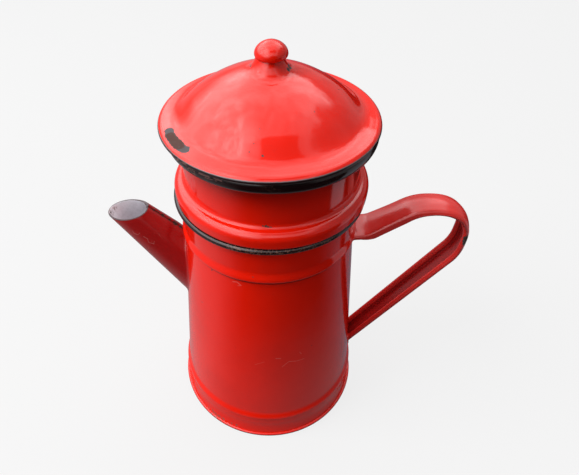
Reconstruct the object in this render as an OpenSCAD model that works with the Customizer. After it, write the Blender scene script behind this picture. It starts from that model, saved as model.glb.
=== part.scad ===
// Enamelled steel drip coffee pot: a conical pot with a slanted spout and a strap handle, a loose filter
// vessel hanging in its mouth, a loose water spreader inside the vessel, and a domed lid with a knob.
// Millimetres, +Z up. The origin is on the pot's axis, in the plane that it stands on.
// The spout points along -X and the handle along +X.

/* [Sheet] */
// Thickness of the enamelled sheet
wall = 1.2; // [0.8:0.1:1.8]
// Gap left between loose pieces that rest on each other
seat_gap = 0.3; // [0.2:0.05:0.6]

/* [Pot] */
// Height of the pot, up to the top of its rolled rim
pot_h = 175.7; // [146:0.1:215]
// Diameter across the foot
foot_d = 129.2; // [107:0.1:156]
// Outer diameter of the neck, under the rim
neck_d = 97; // [80:0.1:117]
// How far the foot flares out from the wall, each side
foot_flare = 3.3; // [2:0.1:5]
// Height of the flare at the foot
foot_h = 13.5; // [11:0.1:20]
// Height of the plain band between the flare and the foot's bead
foot_band = 6; // [3:0.1:9]
// Height of the plain band between the neck's bead and the rim
neck_h = 18.6; // [16:0.1:28]
// Width of the pressed beads round the wall
bead_w = 8; // [5:0.1:10]
// How far the pressed beads stand out
bead_out = 1.3; // [0.6:0.05:2]
// Radius of the pot's rolled rim
rim_roll = 1.7; // [1.3:0.05:2.4]
// Radius of the rolled hem at the foot
foot_roll = 1.3; // [1:0.05:1.8]
// Height of the floor's raised middle over the table
floor_rise = 3; // [2.4:0.1:3.6]
// Width of the lower ring round the floor's middle
floor_ring_w = 9; // [6:0.1:12]

/* [Spout] */
// Distance from the neck's wall out to the middle of the spout's tip
spout_reach = 33.9; // [28:0.1:45]
// Drop from the pot's rim to the middle of the spout's tip
spout_tip_drop = 18.4; // [6:0.1:24]
// Drop from the pot's rim to where the spout's axis meets the wall
spout_root_drop = 56.9; // [52:0.1:66]
// Outer radius of the spout at its tip
spout_tip_r = 9.3; // [7:0.1:11]
// Outer radius of the spout where its axis meets the wall
spout_root_r = 15.1; // [13:0.1:18]
// Outward fall of the cut across the tip, in degrees
spout_cut_fall = 4; // [0:0.5:8]
// Width of the lapped seam along the top of the spout
seam_w = 2.4; // [1.6:0.1:3.2]
// Height of the lapped seam over the tube
seam_h = 0.9; // [0.5:0.05:1.2]
// Diameter of the strainer holes behind the spout
strainer_d = 4; // [3:0.1:5]
// Spacing of the strainer holes
strainer_pitch = 7; // [6:0.1:9]

/* [Handle] */
// Width of the strap
strap_w = 17; // [12:0.1:20]
// Depth of the strap, over its turned-in edges
strap_depth = 4.6; // [3:0.1:6]
// Thickness of the strap
strap_t = 1.5; // [1.2:0.1:2]
// Rounding of the strap's outer corners
strap_round = 2.6; // [2:0.1:3.4]
// Distance from the neck's wall out to the middle of the handle's bend
bend_out = 41.2; // [36:0.1:60]
// Drop from the pot's rim to the middle of the handle's bend
bend_drop = 37.2; // [28:0.1:44]
// Outer radius of the handle's bend
bend_r = 27; // [22:0.1:33]
// Rise of the handle's upper arm, in degrees
arm_rise = 34; // [25:1:42]
// Length of the upper arm between its two bends
arm_len = 12; // [6:0.1:16]
// Radius of the turn at the upper arm's root
root_turn = 14; // [9:0.1:20]
// Rise of the upper arm where it meets the wall, in degrees
root_rise = 8; // [0:1:16]
// Height over the table at which the lower arm meets the wall
root_z = 37; // [34:0.1:48]

/* [Filter vessel] */
// Clearance round the vessel in the pot's mouth
filter_play = 1.3; // [1:0.1:2]
// How far the loose vessel rests off the pot's axis
filter_shift = 0.9; // [0:0.1:0.9]
// Radius of the bead that the vessel hangs by
rest_roll = 4.7; // [4:0.1:5.5]
// How far the middle of that bead lies outside the vessel's wall
rest_out = 0.9; // [0.4:0.1:1.4]
// Radius of the heel under that bead, which rests on the pot's rim
rest_heel = 1.6; // [1.2:0.1:2]
// How far the middle of the heel lies outside the middle of the bead
heel_out = 2.3; // [1.6:0.1:2.6]
// Height of the vessel over the pot's rim
filter_h = 40.3; // [34:0.1:50]
// Radius of the vessel's rolled rim
filter_roll = 3.4; // [2.8:0.1:4]
// Depth of the vessel under the pot's rim
filter_depth = 46; // [38:0.1:55]
// Width of the turned-in hem that carries the perforated floor
hem_w = 6; // [5:0.1:8]
// Thickness of the perforated floor
floor_t = 1; // [0.8:0.1:1.5]
// Diameter of the floor's holes
drip_d = 2; // [1.6:0.1:2.4]
// Spacing of the rings of floor holes
drip_pitch = 7; // [6:0.1:9]

/* [Spreader] */
// Clearance round the spreader in the vessel
spreader_play = 1; // [0.8:0.1:1.6]
// Height of the spreader over the vessel's floor
spreader_h = 18; // [14:0.1:24]
// Thickness of the spreader's sheet
spreader_t = 1; // [0.8:0.1:1.5]
// Diameter of the spreader's holes
spread_d = 3; // [2.4:0.1:3.6]
// Spacing of the rings of spreader holes
spread_pitch = 8; // [7:0.1:10]
// Diameter of the spreader's lifting knob
lift_d = 14; // [12:0.1:16]
// Diameter of the lifting knob's waist
lift_waist_d = 6; // [4.8:0.1:7.2]
// Height of the spreader's lifting knob
lift_h = 13; // [10:0.1:18]
// Diameter of the shank of the spreader's rivet
rivet_d = 3; // [2:0.1:4]
// Diameter of the rivet's head
rivet_head_d = 6; // [5:0.1:7]
// Thickness of the rivet's head
rivet_head_t = 1.2; // [0.8:0.1:1.6]

/* [Lid] */
// How far the lid's edge stands out past the vessel's rim
lid_over = 1.2; // [1:0.1:4]
// How far the loose lid rests off the pot's axis, along X and Y
lid_shift = [0, 0.8]; // [-0.8:0.1:0.8]
// Depth of the lid's edge, over its turned-down hem
lid_edge_h = 1.3; // [1.2:0.1:2.4]
// Fall of the brim's outer part to the edge
lid_edge_fall = 0.6; // [0.2:0.1:1]
// Width of that falling part
lid_edge_w = 3; // [2:0.1:4]
// Width of the lid's brim, from its edge to the foot of the dome
brim_w = 7.4; // [6:0.1:10]
// Height of the dome over the brim
dome_h = 24.5; // [20:0.1:34]
// How softly the dome runs out into the brim
dome_ease = 3; // [1.5:0.1:4]
// Clearance round the lid's collar in the vessel
lid_play = 1.5; // [1.2:0.1:2]
// Depth of the lid's collar under the brim
collar_h = 8; // [6:0.1:12]
// Thickness of the collar
collar_t = 1; // [0.8:0.1:1.4]
// Diameter of the knob
knob_d = 14.8; // [12:0.1:19]
// Height of the knob over its widest part
knob_up = 5.6; // [4.4:0.1:9]
// Depth of the knob under its widest part
knob_down = 1.6; // [1.2:0.1:2.4]
// Height of the knob's widest part over the top of the dome
knob_rise = 5.2; // [4:0.1:7]
// Diameter of the knob's neck at its waist
waist_d = 13; // [10.4:0.1:13.2]
// Diameter of the neck's flared foot on the dome
waist_foot_d = 17.2; // [15:0.1:20]

/* [Hidden] */
$fn = 96;
RED = "#d8261c";
BLACK = "#171214";
STEEL = "#b9bcbf";
EPS = 0.01;              // overlap that keeps a cut clean
FAR = 400;               // larger than the whole pot, for half-space cuts

function span(a, b, n) = [for (i = [0 : n]) a + (b - a) * i / n];
function reversed(list) = [for (i = [len(list) - 1 : -1 : 0]) list[i]];
function at(centre, r, a) = centre + r * [cos(a), sin(a)];
function bearing(d) = atan2(d[1], d[0]);

// ---- Pot wall: its outer radius at each height ----
neck_r = neck_d / 2;
foot_r = foot_d / 2;
rim_z = pot_h - rim_roll;
rim_r = neck_r + rim_roll;
taper_foot_r = foot_r - foot_flare;
foot_bead_z = foot_h + foot_band + bead_w / 2;
neck_bead_z = pot_h - neck_h - bead_w / 2;
taper_top_z = neck_bead_z - bead_w / 2;
hem_top = 2 * foot_roll;
FLOOR_GAP = 0.1;         // clearance between the floor's edge and the foot of the wall over it
function bead(z, middle) = abs(z - middle) < bead_w / 2
    ? bead_out * (1 + cos(360 * (z - middle) / bead_w)) / 2 : 0;
function taper(z) = taper_foot_r
    + (neck_r - taper_foot_r) * (min(max(z, foot_h), taper_top_z) - foot_h) / (taper_top_z - foot_h);
function flare(z) = z < foot_h ? (foot_flare - foot_roll / 2) * pow((foot_h - z) / foot_h, 2) : 0;
function wall_r(z) = taper(z) + flare(z) + bead(z, foot_bead_z) + bead(z, neck_bead_z);
function bead_zs(middle) = span(middle - bead_w / 2, middle + bead_w / 2, 12);
wall_zs = concat(span(hem_top, foot_h - EPS, 8), bead_zs(foot_bead_z), bead_zs(neck_bead_z), [rim_z]);

// Everything inside the wall's outer face, for trimming what is welded to it
module inside_wall() {
    rotate_extrude() polygon(concat([[0, -EPS], [foot_r, -EPS]], [for (z = wall_zs) [wall_r(z), z]],
                                    [[0, rim_z]]));
}

// ---- Spout: its axis runs from the wall up and outwards, in the plane y = 0 ----
spout_root = [wall_r(pot_h - spout_root_drop), pot_h - spout_root_drop];
spout_tip = [neck_r + spout_reach, pot_h - spout_tip_drop];
spout_len = norm(spout_tip - spout_root);
spout_rise = bearing(spout_tip - spout_root);
spout_slope = (spout_root_r - spout_tip_r) / spout_len;
spout_back = 1.7 * spout_root_r;      // length carried inside the wall before it is trimmed
spout_over = 1.5 * spout_tip_r;       // length carried past the tip before it is cut
spout_whole = spout_back + spout_len + spout_over;
module on_spout_axis() {
    translate([-spout_root[0], 0, spout_root[1]]) rotate([0, spout_rise - 90, 0])
        translate([0, 0, -spout_back]) children();
}
module spout_cone(inset) {
    on_spout_axis() cylinder(h = spout_whole, r1 = spout_root_r + spout_slope * spout_back - inset,
                             r2 = spout_tip_r - spout_slope * spout_over - inset);
}
module over_spout_tip() {
    translate([-spout_tip[0], 0, spout_tip[1]]) rotate([0, -spout_cut_fall, 0])
        translate([-FAR / 2, -FAR / 2, 0]) cube([FAR, FAR, FAR]);
}
// The patch of wall that the spout covers, as half its width and half its height
patch_w = spout_root_r - wall - strainer_d;
patch_h = patch_w / cos(spout_rise);

// ---- Handle: a bend, a straight arm at each end of it, and a turned root on the upper arm ----
bend_c = [neck_r + bend_out, pot_h - bend_drop];
upper_a = 90 + arm_rise;
low_root = [wall_r(root_z), root_z];
lower_a = bearing(low_root - bend_c) + acos(bend_r / norm(low_root - bend_c));
lower_len = bend_r * tan(acos(bend_r / norm(low_root - bend_c)));
turn_c = at(bend_c, bend_r + root_turn, upper_a) + arm_len * [-cos(arm_rise), -sin(arm_rise)];
arm_back = 5 * strap_depth;           // length carried inside the wall before it is trimmed
root_len = at(turn_c, root_turn, 270 + root_rise)[0] - neck_r + arm_back;

RUN_SLIM = 0.03;          // how much slimmer a straight run's section is, all round
RUN_LAP = 0.5;            // how far a straight run laps into a bend

// Cross-section of the strap: x runs outwards from the bend's centre, from `top` down to its open edges
module strap_outline(top, width, depth, round) {
    translate([top - depth, -width / 2]) square([depth - round, width]);
    translate([top - depth, round - width / 2]) square([depth, width - 2 * round]);
    for (side = [-1, 1]) translate([top - round, side * (width / 2 - round)]) circle(round, $fn = 32);
}
module strap_section(top, slim = 0) {
    inner = strap_t - 2 * slim;
    difference() {
        strap_outline(top - slim, strap_w - 2 * slim, strap_depth - 2 * slim, strap_round - slim);
        strap_outline(top - slim - inner, strap_w - 2 * slim - 2 * inner, strap_depth,
                      strap_round - slim - inner);
    }
}
// Stands children up in the plane y = 0, turned so that x points along bearing a from a centre
module in_handle_plane(centre, a) {
    translate([centre[0], 0, centre[1]]) rotate([90, 0, 0]) rotate([0, 0, a]) children();
}

// A straight run along the tangent, between two distances from the bend's end. Its section is a
// hair slimmer than the bend's, so that the ends which lap into the bends join cleanly.
module strap_run(top, from, to) {
    translate([0, from, 0]) rotate([-90, 0, 0]) linear_extrude(to - from) strap_section(top, RUN_SLIM);
}

// ---- Filter vessel, with its own axis a little off the pot's ----
filter_r = neck_r - wall - filter_play;
filter_bore = filter_r - wall;
filter_top = pot_h + filter_h;
shoulder_z = pot_h + seat_gap;
rest_c = [filter_r + rest_out, shoulder_z + rest_roll];
heel_c = [rest_c[0] + heel_out, shoulder_z + rest_heel];
roll_c = [filter_r + filter_roll - wall / 2, filter_top - filter_roll];
hem_z = pot_h - filter_depth;
floor_z = hem_z + wall;
floor_r = filter_bore - seat_gap / 2;
module at_vessel() { translate([filter_shift, 0, 0]) children(); }

// ---- Spreader ----
spreader_r = filter_bore - spreader_play;
spreader_z = floor_z + floor_t + seat_gap;
spreader_top = spreader_z + spreader_h;
lift_waist = lift_waist_d / 2;
lift_mid = lift_h / 2;            // height up to which the knob is drilled for its rivet

// ---- Lid ----
lid_r = roll_c[0] + filter_roll + lid_over;
dome_r = lid_r - brim_w;
CROWN_POWER = 1.9;       // how round the dome's crown is
STEEP = 0.25;            // extra depth of the lid's sheet on the dome's slope, as a share
// The dome's own height over the brim, negative past its foot, and the same eased to run out softly
function crown(r) = dome_h * (1 - pow(r / dome_r, CROWN_POWER));
function eased(r) = (crown(r) + sqrt(pow(crown(r), 2) + pow(dome_ease, 2))) / 2;
// The lid seats where the vessel's rim comes closest to its underside
seat_r = min(roll_c[0] + filter_shift + norm(lid_shift), lid_r - lid_edge_w);
brim_z = filter_top + seat_gap + wall - eased(seat_r);
dome_top = brim_z + dome_h;
function lid_fall(r) = lid_edge_fall * pow(max(r - (lid_r - lid_edge_w), 0) / lid_edge_w, 2);
function lid_top(r) = brim_z + eased(r) - lid_fall(r);
function lid_under(r) = lid_top(r) - wall * (1 + STEEP * sin(180 * min(r / dome_r, 1)));
lid_rs = concat(span(0, lid_r - lid_edge_w, 28), span(lid_r - 0.8 * lid_edge_w, lid_r - wall / 2, 4));
module at_lid() { translate([lid_shift[0], lid_shift[1], 0]) children(); }
collar_r = filter_bore - lid_play;
knob_r = knob_d / 2;
knob_z = dome_top + knob_rise;
knob_base_z = knob_z - knob_down;
waist_r = waist_d / 2;
waist_foot_r = waist_foot_d / 2;
neck_bore_r = waist_r - 1.5 * wall;
CREASE = 32;             // bearing, under the level, at which the knob's side turns in to its neck

// Rings of holes round the middle, through a sheet of thickness t that lies at height z
module hole_rings(pitch, r_max, d, z, t) {
    for (ring = [1 : floor((r_max - d) / pitch)], i = [0 : 6 * ring - 1])
        rotate([0, 0, 360 * (i + (ring % 2) / 2) / (6 * ring)]) translate([ring * pitch, 0, z - t / 2])
            cylinder(h = 2 * t, d = d, $fn = 16);
}

// The conical wall, with its two pressed beads and the strainer holes behind the spout
module pot_shell() {
    color(RED) difference() {
        rotate_extrude() polygon(concat([for (z = wall_zs) [wall_r(z), z]],
                                        reversed([for (z = wall_zs) [wall_r(z) - wall, z]])));
        for (row = [-6 : 6], col = [-4 : 4]) {
            y = strainer_pitch * (col + (abs(row) % 2) / 2);
            z = strainer_pitch * row * sin(60);
            if (pow(y / patch_w, 2) + pow(z / patch_h, 2) < 1)
                translate([0, y, spout_root[1] + z]) rotate([0, -90, 0])
                    cylinder(h = foot_r, d = strainer_d, $fn = 16);
        }
    }
}

// The pressed floor: raised in the middle, and let in against the wall
module pot_floor() {
    r = wall_r(hem_top) - wall;
    low = hem_top - wall - FLOOR_GAP;
    ring_r = r - floor_ring_w;
    land_r = ring_r - 2 * (floor_rise - low);
    color(BLACK) rotate_extrude() polygon([[0, floor_rise], [land_r, floor_rise], [ring_r, low], [r, low],
        [r, low + wall], [ring_r, low + wall], [land_r, floor_rise + wall], [0, floor_rise + wall]]);
}

// The dark rolled hem that the pot stands on, closing the joint of wall and floor
module foot_hem() {
    r = wall_r(hem_top);
    color(BLACK) rotate_extrude() {
        translate([foot_r - foot_roll, foot_roll]) circle(foot_roll, $fn = 32);
        translate([r - wall, 0]) square([foot_r - foot_roll - r + wall, foot_roll]);
        translate([r - wall, foot_roll - EPS]) square([wall, foot_roll + EPS]);
    }
}

// The dark rolled rim of the pot, curled outwards from the neck
module pot_rim() {
    color(BLACK) rotate_extrude() {
        difference() {
            translate([rim_r, rim_z]) circle(rim_roll, $fn = 32);
            translate([0, rim_z - 2 * rim_roll]) square([neck_r, 2 * rim_roll]);
        }
        translate([neck_r - wall, rim_z]) square([rim_r - neck_r + wall, wall]);
    }
}

// The spout: a tube rolled from one sheet, lapped along its top, trimmed to the wall and cut level
module spout() {
    color(RED) difference() {
        union() {
            spout_cone(0);
            on_spout_axis() translate([spout_root_r + spout_slope * spout_back, 0, 0])
                rotate([0, -atan(spout_slope), 0]) translate([-wall, -seam_w / 2, 0])
                    cube([wall + seam_h, seam_w, spout_whole]);
        }
        spout_cone(wall);
        over_spout_tip();
        inside_wall();
    }
}

// The handle: one strap with its edges turned in, welded to the wall at both ends
module handle_strap() {
    color(RED) difference() {
        union() {
            in_handle_plane(bend_c, lower_a)
                rotate_extrude(angle = upper_a - lower_a) strap_section(bend_r);
            in_handle_plane(bend_c, upper_a) strap_run(bend_r, -RUN_LAP, arm_len + RUN_LAP);
            in_handle_plane(bend_c, lower_a) strap_run(bend_r, -lower_len - arm_back, RUN_LAP);
            in_handle_plane(turn_c, 270 + root_rise) rotate_extrude(angle = arm_rise - root_rise)
                mirror([1, 0]) strap_section(-root_turn);
            in_handle_plane(turn_c, 270 + root_rise)
                mirror([1, 0]) strap_run(-root_turn, -root_len, RUN_LAP);
        }
        inside_wall();
    }
}

// The vessel: a cylinder with a hollow bead to hang by and a hem turned in under its floor
module filter_wall() {
    color(RED) at_vessel() rotate_extrude() {
        difference() {
            union() {
                translate([filter_bore, hem_z]) square([wall, filter_top - wall - hem_z]);
                translate(rest_c) circle(rest_roll, $fn = 48);
                translate(heel_c) circle(rest_heel, $fn = 24);
                translate([filter_bore, shoulder_z])
                    square([heel_c[0] - filter_bore, rest_c[1] - shoulder_z]);
            }
            translate(rest_c) circle(rest_roll - wall, $fn = 48);
            translate([0, hem_z - EPS]) square([filter_bore, filter_h + filter_depth]);
        }
        translate([filter_r - hem_w, hem_z]) square([hem_w - wall / 2, wall]);
    }
}

// The dark rolled rim of the vessel
module filter_rim() {
    color(BLACK) at_vessel() rotate_extrude() {
        difference() {
            translate(roll_c) circle(filter_roll, $fn = 48);
            translate([0, roll_c[1] - 2 * filter_roll]) square([filter_r, 4 * filter_roll]);
        }
        translate([filter_bore, filter_top - wall]) square([roll_c[0] - filter_bore, wall]);
    }
}

// The perforated floor, lying on the vessel's hem
module filter_floor() {
    color(STEEL) at_vessel() difference() {
        translate([0, 0, floor_z]) cylinder(h = floor_t, r = floor_r);
        hole_rings(drip_pitch, filter_r - hem_w, drip_d, floor_z, floor_t);
    }
}

// The loose spreader: a perforated plate with a skirt that stands on the floor
module spreader_plate() {
    color(STEEL) at_vessel() difference() {
        rotate_extrude() polygon([[spreader_r - spreader_t, spreader_z], [spreader_r, spreader_z],
            [spreader_r, spreader_top], [0, spreader_top], [0, spreader_top - spreader_t],
            [spreader_r - spreader_t, spreader_top - spreader_t]]);
        hole_rings(spread_pitch, spreader_r - spreader_t, spread_d, spreader_top - spreader_t, spreader_t);
        translate([0, 0, spreader_top - 2 * spreader_t])
            cylinder(h = 3 * spreader_t, d = rivet_d, $fn = 32);
    }
}

// The spreader's lifting knob, drilled up its middle for the rivet
module spreader_knob() {
    color(BLACK) at_vessel() translate([0, 0, spreader_top]) rotate_extrude() difference() {
        union() {
            square([lift_waist, lift_mid]);
            translate([lift_waist - EPS, 0]) polygon([[0, 0], [lift_waist / 2, 0], [0, lift_mid / 2]]);
            intersection() {
                translate([0, lift_h - lift_d / 2]) circle(lift_d / 2, $fn = 48);
                translate([0, lift_mid / 2]) square([lift_d, lift_h]);
            }
        }
        square([rivet_d / 2, lift_mid]);
    }
}

// The rivet that holds the knob to the spreader, headed under the plate
module spreader_rivet() {
    color(STEEL) at_vessel() translate([0, 0, spreader_top - spreader_t]) {
        cylinder(h = lift_mid + spreader_t, d = rivet_d, $fn = 32);
        translate([0, 0, -rivet_head_t]) cylinder(h = rivet_head_t, d = rivet_head_d, $fn = 32);
    }
}

// The lid: one pressed sheet, dome and flat brim, with its edge rolled into a hem
module lid_shell() {
    edge_r = lid_r - wall / 2;
    color(RED) at_lid() rotate_extrude() {
        polygon(concat([for (r = lid_rs) [r, lid_under(r)]], reversed([for (r = lid_rs) [r, lid_top(r)]])));
        translate([edge_r - wall / 2, lid_top(edge_r) - lid_edge_h]) square([wall, lid_edge_h - wall / 2]);
        translate([edge_r, lid_top(edge_r) - wall / 2]) circle(wall / 2, $fn = 24);
    }
}

// The ring under the lid that keeps it in the vessel's mouth
module lid_collar() {
    foot_z = brim_z - wall - collar_h;
    color(RED) at_lid() rotate_extrude() polygon(concat(
        [[collar_r - collar_t, foot_z], [collar_r, foot_z]],
        [for (r = reversed(span(collar_r - collar_t, collar_r, 4))) [r, lid_under(r)]]));
}

// The neck between dome and knob, flared to a foot that is welded to the dome
module knob_neck() {
    rs = span(neck_bore_r, waist_foot_r, 12);
    function side(s) = let (r = waist_foot_r - (waist_foot_r - waist_r) * sin(90 * s))
        [r, lid_top(r) + (knob_base_z - lid_top(waist_r)) * (1 - cos(90 * s))];
    color(RED) at_lid() rotate_extrude() polygon(concat([for (r = rs) [r, lid_top(r)]],
        [for (s = span(1 / 12, 1, 11)) side(s)], [[neck_bore_r, knob_base_z]]));
}

// The hollow knob, pressed from sheet and closed over its neck
module lid_knob() {
    module cap(r, up, down) {
        polygon(concat([[0, -down]],
            [for (a = span(-CREASE, 0, 4)) [r * cos(a), down * sin(a * 90 / CREASE)]],
            [for (a = span(0, 90, 20)) [r * cos(a), up * sin(a)]]));
    }
    color(RED) at_lid() translate([0, 0, knob_z]) rotate_extrude() difference() {
        cap(knob_r, knob_up, knob_down);
        cap(knob_r - wall, knob_up - wall, knob_down + EPS);
    }
}

pot_shell();
pot_floor();
foot_hem();
pot_rim();
spout();
handle_strap();
filter_wall();
filter_rim();
filter_floor();
spreader_plate();
spreader_knob();
spreader_rivet();
lid_shell();
lid_collar();
knob_neck();
lid_knob();
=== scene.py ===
from math import acos, atan2, cos, degrees, hypot, pi, radians, sin, sqrt, tan

import bmesh
import bpy
from mathutils import Matrix, Vector


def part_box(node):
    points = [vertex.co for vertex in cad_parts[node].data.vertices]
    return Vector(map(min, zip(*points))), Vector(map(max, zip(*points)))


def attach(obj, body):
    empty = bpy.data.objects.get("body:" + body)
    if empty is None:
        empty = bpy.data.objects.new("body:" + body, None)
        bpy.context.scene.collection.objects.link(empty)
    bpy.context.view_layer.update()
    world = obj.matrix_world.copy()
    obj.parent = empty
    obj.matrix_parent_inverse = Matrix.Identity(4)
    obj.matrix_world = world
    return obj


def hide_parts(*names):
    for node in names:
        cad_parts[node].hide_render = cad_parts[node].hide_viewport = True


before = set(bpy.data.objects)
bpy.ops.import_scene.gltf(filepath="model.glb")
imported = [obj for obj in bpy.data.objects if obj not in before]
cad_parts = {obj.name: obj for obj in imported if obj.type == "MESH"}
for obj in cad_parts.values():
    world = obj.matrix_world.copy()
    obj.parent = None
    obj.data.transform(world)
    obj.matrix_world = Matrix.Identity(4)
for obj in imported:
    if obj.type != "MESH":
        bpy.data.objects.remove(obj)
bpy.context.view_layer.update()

# ---- Pot wall -------------------------------------------------------------------------------
# A tapered tube of sheet steel, red enamel outside and mottled grey inside. Two beads are rolled
# round it, its foot is flared, and a patch behind the spout is punched to hold back the grounds.
MM = 0.001


def join(tree, kind, sockets=None, out=0, **settings):
    """Adds a node with its settings, fixed values and links, and gives back one of its outputs, or all.

    A kind that names no sort of node is a shader's.
    """
    made = tree.nodes.new(kind if "Node" in kind else "ShaderNode" + kind)
    for key, value in settings.items():
        setattr(made, key, value)
    for key, value in (sockets or {}).items():
        if isinstance(value, bpy.types.NodeSocket):
            tree.links.new(value, made.inputs[key])
        else:
            made.inputs[key].default_value = value
    return made.outputs[out] if made.outputs and out is not None else made.outputs


def maths(tree, operation, a, b=0.0, c=0.0, clamp=False):
    return join(tree, "Math", {0: a, 1: b, 2: c}, operation=operation, use_clamp=clamp)


def times(tree, a, b):
    return maths(tree, "MULTIPLY", a, b)


def scaled(tree, value, by, plus):
    return maths(tree, "MULTIPLY_ADD", value, by, plus)


def vectors(tree, operation, a, b=(0.0, 0.0, 0.0), scale=1.0):
    """Vector arithmetic; a length and a dot product come out as values."""
    out = "Value" if operation in ("LENGTH", "DOT_PRODUCT") else "Vector"
    return join(tree, "VectorMath", {0: a, 1: b, 3: scale}, out, operation=operation)


def ramp(tree, value, low, high):
    """0 below low, 1 above high, and smooth between them; low may be the larger."""
    return join(tree, "MapRange", {"Value": value, "From Min": low, "From Max": high},
        interpolation_type="SMOOTHSTEP", out="Result")


def tint(tree, share, under, over, blend="MIX"):
    """One colour over another by a share; either may be a socket."""
    under, over = (c if isinstance(c, bpy.types.NodeSocket) else (*c, 1.0) for c in (under, over))
    return join(tree, "Mix", {"Factor": share, 6: under, 7: over}, 2, data_type="RGBA", blend_type=blend)


def cloud(tree, place, size_mm, detail=3.0, rough=0.55, seed=0.0):
    """Soft noise whose lumps are about size_mm across."""
    return join(tree, "TexNoise", {"Vector": place, "W": seed, "Scale": 1 / (size_mm * MM),
        "Detail": detail, "Roughness": rough}, noise_dimensions="4D")


def spots(tree, place, marks, rag=0.9, seed=0.0):
    """How deep a point lies in some ragged marks, 1 in the middle and 0 at the edge, and how rusty.

    A mark is a place or a pair of places, its reach, and its share of rust, which is 1 if left out.
    """
    wobble = join(tree, "TexNoise", {"Vector": place, "W": seed, "Scale": 700.0, "Detail": 3.0},
        noise_dimensions="4D", out="Color")
    shift = vectors(tree, "SUBTRACT", wobble, (0.5, 0.5, 0.5))
    moved = vectors(tree, "ADD", place, vectors(tree, "SCALE", shift, scale=2 * rag * MM))
    deepest = rusty = 0.0
    for where, reach, *rust in marks:
        ends = [Vector(end) * MM for end in (where if isinstance(where[0], tuple) else (where, where))]
        reached = vectors(tree, "SUBTRACT", moved, ends[0])
        line = ends[1] - ends[0]
        if line.length:
            part = vectors(tree, "DOT_PRODUCT", reached, line / line.length_squared)
            foot = vectors(tree, "SCALE", line, scale=maths(tree, "ADD", part, 0.0, clamp=True))
            reached = vectors(tree, "SUBTRACT", reached, foot)
        depth = scaled(tree, vectors(tree, "LENGTH", reached), -1 / (reach * MM), 1.0)
        deepest = maths(tree, "MAXIMUM", depth, deepest)
        share = rust[0] if rust else 1.0
        if share:
            rusty = maths(tree, "MAXIMUM", times(tree, depth, share), rusty)
    return deepest, rusty


def stroke(points, reaches):
    """A drawn line as marks, one for each straight stretch of it."""
    return list(zip(zip(points, points[1:]), reaches))


def new_finish(name):
    """A bare material, its tree, and the place on the piece that its patterns read."""
    finish = bpy.data.materials.new(name)
    finish.use_nodes = True
    tree = finish.node_tree
    tree.nodes.clear()
    return finish, tree, join(tree, "TexCoord", out="Object")


STEEL_GREY = (0.066, 0.064, 0.068)
RUST = (0.050, 0.020, 0.014)
ENAMEL_RED = (0.62, 0.0080, 0.0012)
ENAMEL_BLACK = (0.010, 0.0035, 0.004)
ENAMEL_GREY = (0.33, 0.315, 0.355)


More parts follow.
